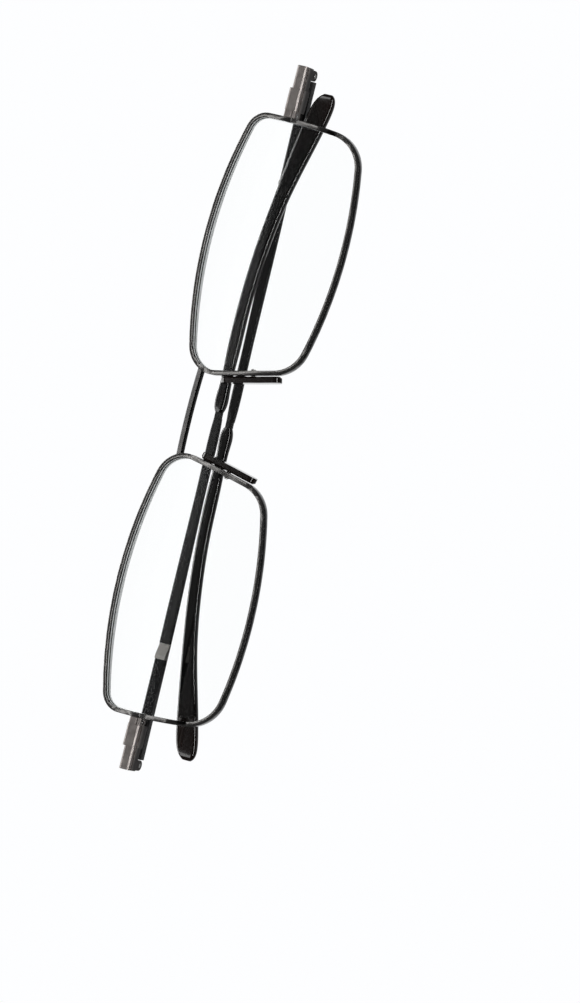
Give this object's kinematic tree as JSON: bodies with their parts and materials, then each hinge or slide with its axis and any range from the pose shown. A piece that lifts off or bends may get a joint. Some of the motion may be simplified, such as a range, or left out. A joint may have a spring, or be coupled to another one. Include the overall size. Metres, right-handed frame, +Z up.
{
  "type": "folding reading glasses",
  "caption": "Rectangular metal full-rim reading glasses, temples folded on spring hinges behind the clear lenses, slim straight bridge, small nose pads and gloss tips.",
  "frame": {"origin": "midway between the centres of the two nose pads", "axes": "+X to the wearer's left along the front, +Y towards the wearer's face, +Z up; the front of the glasses faces -Y"},
  "size_m": [0.13, 0.0117, 0.028],
  "materials": {
    "rim_metal": "satin dark gunmetal",
    "endpiece_metal": "satin warm grey",
    "housing_metal": "satin black",
    "plug_metal": "satin, brushed lengthwise",
    "bar_metal": "matte black",
    "tip_plastic": "gloss dark brown-black",
    "pad_plastic": "gloss, dark translucent",
    "insert_metal": "satin",
    "screw_steel": "polished",
    "plunger_steel": "satin",
    "spring_steel": "bright wire",
    "lens": "clear, polished"
  },
  "bodies": {
    "front": {"bridge": "rim_metal", "left_rim": "rim_metal", "left_lens": "lens", "left_rim_lock_upper": "endpiece_metal", "left_rim_lock_lower": "endpiece_metal", "left_rim_lock_screw": "screw_steel", "left_endpiece": "endpiece_metal", "left_hinge_screw": "screw_steel", "left_pad_bracket": "rim_metal", "left_pad_screw": "screw_steel", "right_rim": "rim_metal", "right_lens": "lens", "right_rim_lock_upper": "endpiece_metal", "right_rim_lock_lower": "endpiece_metal", "right_rim_lock_screw": "screw_steel", "right_endpiece": "endpiece_metal", "right_hinge_screw": "screw_steel", "right_pad_bracket": "rim_metal", "right_pad_screw": "screw_steel"},
    "left_hinge_eye": {"left_plunger": "plunger_steel"},
    "left_temple": {"left_hinge_housing": "housing_metal", "left_housing_end_plug": "plug_metal", "left_plunger_spring": "spring_steel", "left_temple_bar": "bar_metal", "left_temple_tip": "tip_plastic"},
    "left_pad": {"left_nose_pad": "pad_plastic", "left_pad_insert": "insert_metal"},
    "right_hinge_eye": {"right_plunger": "plunger_steel"},
    "right_temple": {"right_hinge_housing": "housing_metal", "right_housing_end_plug": "plug_metal", "right_plunger_spring": "spring_steel", "right_temple_bar": "bar_metal", "right_temple_tip": "tip_plastic"},
    "right_pad": {"right_nose_pad": "pad_plastic", "right_pad_insert": "insert_metal"}
  },
  "joints": [
    {"name": "left_temple_hinge", "type": "hinge", "parent": "front", "child": "left_hinge_eye", "pos_m": [0.0639, 0.0032, 0.0052], "axis": [0, 0, -1], "range_deg": [0, 96.8]},
    {"name": "left_spring_slide", "type": "slide", "parent": "left_hinge_eye", "child": "left_temple", "axis": [-0.9993, 0.0384, 0], "range_m": [0, 0.0012], "stiffness_N_per_m": 400, "deforming": ["left_plunger_spring"]},
    {"name": "left_pad_rock", "type": "hinge", "parent": "front", "child": "left_pad", "pos_m": [0.0081, 0.00065, 0], "axis": [0.9677, 0, 0.2521], "range_deg": [-3, 3]},
    {"name": "right_temple_hinge", "type": "hinge", "parent": "front", "child": "right_hinge_eye", "pos_m": [-0.0639, 0.0032, 0.0052], "axis": [0, 0, 1], "range_deg": [0, 100.1]},
    {"name": "right_spring_slide", "type": "slide", "parent": "right_hinge_eye", "child": "right_temple", "axis": [0.9998, -0.0192, 0], "range_m": [0, 0.0012], "stiffness_N_per_m": 400, "deforming": ["right_plunger_spring"]},
    {"name": "right_pad_rock", "type": "hinge", "parent": "front", "child": "right_pad", "pos_m": [-0.0081, 0.00065, 0], "axis": [-0.9677, 0, 0.2521], "range_deg": [-3, 3]}
  ]
}
